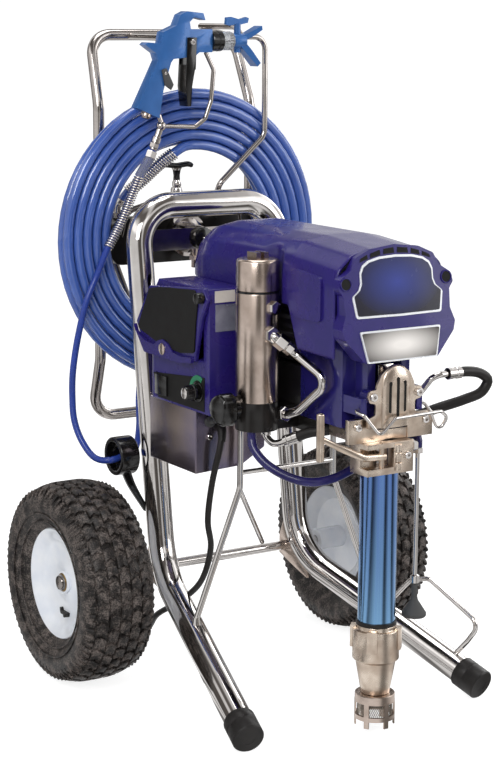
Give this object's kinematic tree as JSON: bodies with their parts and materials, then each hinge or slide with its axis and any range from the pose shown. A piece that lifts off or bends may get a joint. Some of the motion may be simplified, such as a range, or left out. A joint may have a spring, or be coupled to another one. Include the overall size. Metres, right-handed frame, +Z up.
{
  "type": "airless paint sprayer on a two-wheel cart",
  "caption": "Electric airless paint sprayer with a vertical piston pump on a two-wheel tube cart, with a hose reel, wound hose and spray gun at the back.",
  "frame": {"origin": "bottom centre of the sprayer's bounding box, measured without the mains lead, on the floor", "axes": "+Z up, -Y towards the pump at the front, +X to the right as seen from the front, along the axle"},
  "size_m": [0.677, 0.8111, 1.0864],
  "materials": {
    "chrome": "bright chrome plate",
    "steel": "turned and brushed steel",
    "tan_casting": "nickel-plated casting, warm tone",
    "blue_metal": "blue anodised, metallic",
    "blue_paint": "gloss blue paint",
    "blue_plastic": "gloss blue moulding",
    "black_paint": "satin black paint",
    "bronze_paint": "dark hammered bronze",
    "white_paint": "gloss white paint",
    "black_plastic": "moulded black plastic",
    "gun_blue": "light blue powder coat",
    "hose_blue": "smooth blue hose cover",
    "hose_dark": "dark blue hose cover",
    "rubber": "black rubber",
    "tyre": "turf tread, brown-black"
  },
  "bodies": {
    "cart": {"frame_hoop": "chrome", "foot_cap_left": "rubber", "foot_cap_right": "rubber", "axle_bracket_left": "steel", "axle_bracket_right": "steel", "axle": "steel", "strut_frame": "chrome", "reel_bracket": "chrome", "hose_guide": "black_plastic", "base_tray": "black_paint", "motor": "black_paint", "drive_housing": "blue_paint", "rod_guard": "tan_casting", "shroud": "blue_plastic", "front_panel": "blue_plastic", "flange_plate": "tan_casting", "pump_clamp": "tan_casting", "pump_cylinder": "blue_metal", "intake_housing": "tan_casting", "strainer": "chrome", "control_base": "bronze_paint", "control_box": "blue_plastic", "filter_manifold": "black_paint", "filter_bowl": "steel", "filter_cap": "steel", "steel_pipe": "chrome", "outlet_hose": "rubber", "outlet_tube": "chrome", "drain_hose": "hose_dark", "drain_tube": "chrome", "power_lead": "rubber"},
    "wheel_left": {"rim_left": "white_paint", "tyre_left": "tyre"},
    "wheel_right": {"rim_right": "white_paint", "tyre_right": "tyre"},
    "reel": {"reel_loop": "chrome", "reel_beam": "black_paint", "reel_rod": "chrome", "hose_coil": "hose_blue", "hose_fitting": "chrome", "coil_spring": "chrome", "whip_hose": "hose_dark", "whip_spring": "chrome", "gun_body": "gun_blue", "fluid_tube": "chrome", "tip_guard": "black_plastic"},
    "release_pin": {"reel_pin": "chrome"},
    "trigger": {"gun_trigger": "black_plastic"},
    "lock": {"trigger_lock": "black_plastic"},
    "tip": {"spray_tip": "black_plastic"},
    "shaft": {"motor_shaft": "steel"},
    "crank": {"crank_gear": "steel"},
    "piston": {"piston_rod": "chrome"},
    "bail": {"bail_wire": "chrome"},
    "lever": {"clamp_lever": "steel"},
    "cover": {"control_cover": "black_plastic"},
    "thumb": {"thumb_knob": "black_plastic"},
    "pressure": {"pressure_knob": "black_plastic"},
    "power": {"power_switch": "black_plastic"},
    "prime": {"prime_knob": "black_plastic"}
  },
  "joints": [
    {"name": "wheel_left_turn", "type": "hinge", "parent": "cart", "child": "wheel_left", "pos_m": [-0.275, 0.1519, 0.165], "axis": [1, 0, 0], "continuous": true},
    {"name": "wheel_right_turn", "type": "hinge", "parent": "cart", "child": "wheel_right", "pos_m": [0.275, 0.1519, 0.165], "axis": [1, 0, 0], "continuous": true},
    {"name": "reel_turn", "type": "hinge", "parent": "cart", "child": "reel", "pos_m": [0, 0.2979, 0.708], "axis": [0, 1, 0], "continuous": true},
    {"name": "release_pin_pull", "type": "slide", "parent": "reel", "child": "release_pin", "axis": [0, 0, 1], "range_m": [0, 0.012], "stiffness_N_per_m": 900, "springref_m": -0.004},
    {"name": "trigger_pull", "type": "hinge", "parent": "reel", "child": "trigger", "pos_m": [-0.0316, 0.2099, 1.0356], "axis": [0, 1, 0], "range_deg": [0, 15], "stiffness_Nm_per_rad": 3, "springref_deg": -17.19},
    {"name": "lock_turn", "type": "hinge", "parent": "reel", "child": "lock", "pos_m": [-0.0839, 0.1968, 0.9833], "axis": [0, 1, 0], "range_deg": [0, 40]},
    {"name": "tip_turn", "type": "hinge", "parent": "reel", "child": "tip", "pos_m": [0.0642, 0.2099, 1.0414], "axis": [0, 0, 1], "range_deg": [0, 180]},
    {"name": "motor_spin", "type": "hinge", "parent": "cart", "child": "shaft", "pos_m": [0, -0.1, 0.602], "axis": [0, 1, 0], "continuous": true},
    {"name": "crank_spin", "type": "hinge", "parent": "cart", "child": "crank", "pos_m": [0, -0.22, 0.548], "axis": [0, 1, 0], "continuous": true},
    {"name": "piston_slide", "type": "slide", "parent": "cart", "child": "piston", "axis": [0, 0, 1], "range_m": [-0.02, 0.02]},
    {"name": "bail_swing", "type": "hinge", "parent": "cart", "child": "bail", "pos_m": [0, -0.3271, 0.513], "axis": [-1, 0, 0], "range_deg": [0, 60]},
    {"name": "lever_swing", "type": "hinge", "parent": "cart", "child": "lever", "pos_m": [-0.024, -0.3381, 0.44], "axis": [0, 0, 1], "range_deg": [0, 75]},
    {"name": "cover_hinge", "type": "hinge", "parent": "cart", "child": "cover", "pos_m": [-0.1793, 0.01, 0.671], "axis": [0, 1, 0], "range_deg": [0, 80]},
    {"name": "thumb_turn", "type": "hinge", "parent": "cover", "child": "thumb", "pos_m": [-0.186, -0.0821, 0.656], "axis": [1, 0, 0], "range_deg": [-180, 180]},
    {"name": "pressure_turn", "type": "hinge", "parent": "cart", "child": "pressure", "pos_m": [-0.183, -0.0551, 0.505], "axis": [-1, 0, 0], "range_deg": [0, 270]},
    {"name": "power_rock", "type": "hinge", "parent": "cart", "child": "power", "pos_m": [-0.166, 0.0569, 0.4975], "axis": [0, 1, 0], "range_deg": [-6, 6]},
    {"name": "prime_turn", "type": "hinge", "parent": "cart", "child": "prime", "pos_m": [-0.174, -0.1401, 0.493], "axis": [-1, 0, 0], "range_deg": [0, 90]}
  ],
  "couplings": [
    {"joint": "motor_spin", "follows": "crank_spin", "ratio": -3.5}
  ]
}
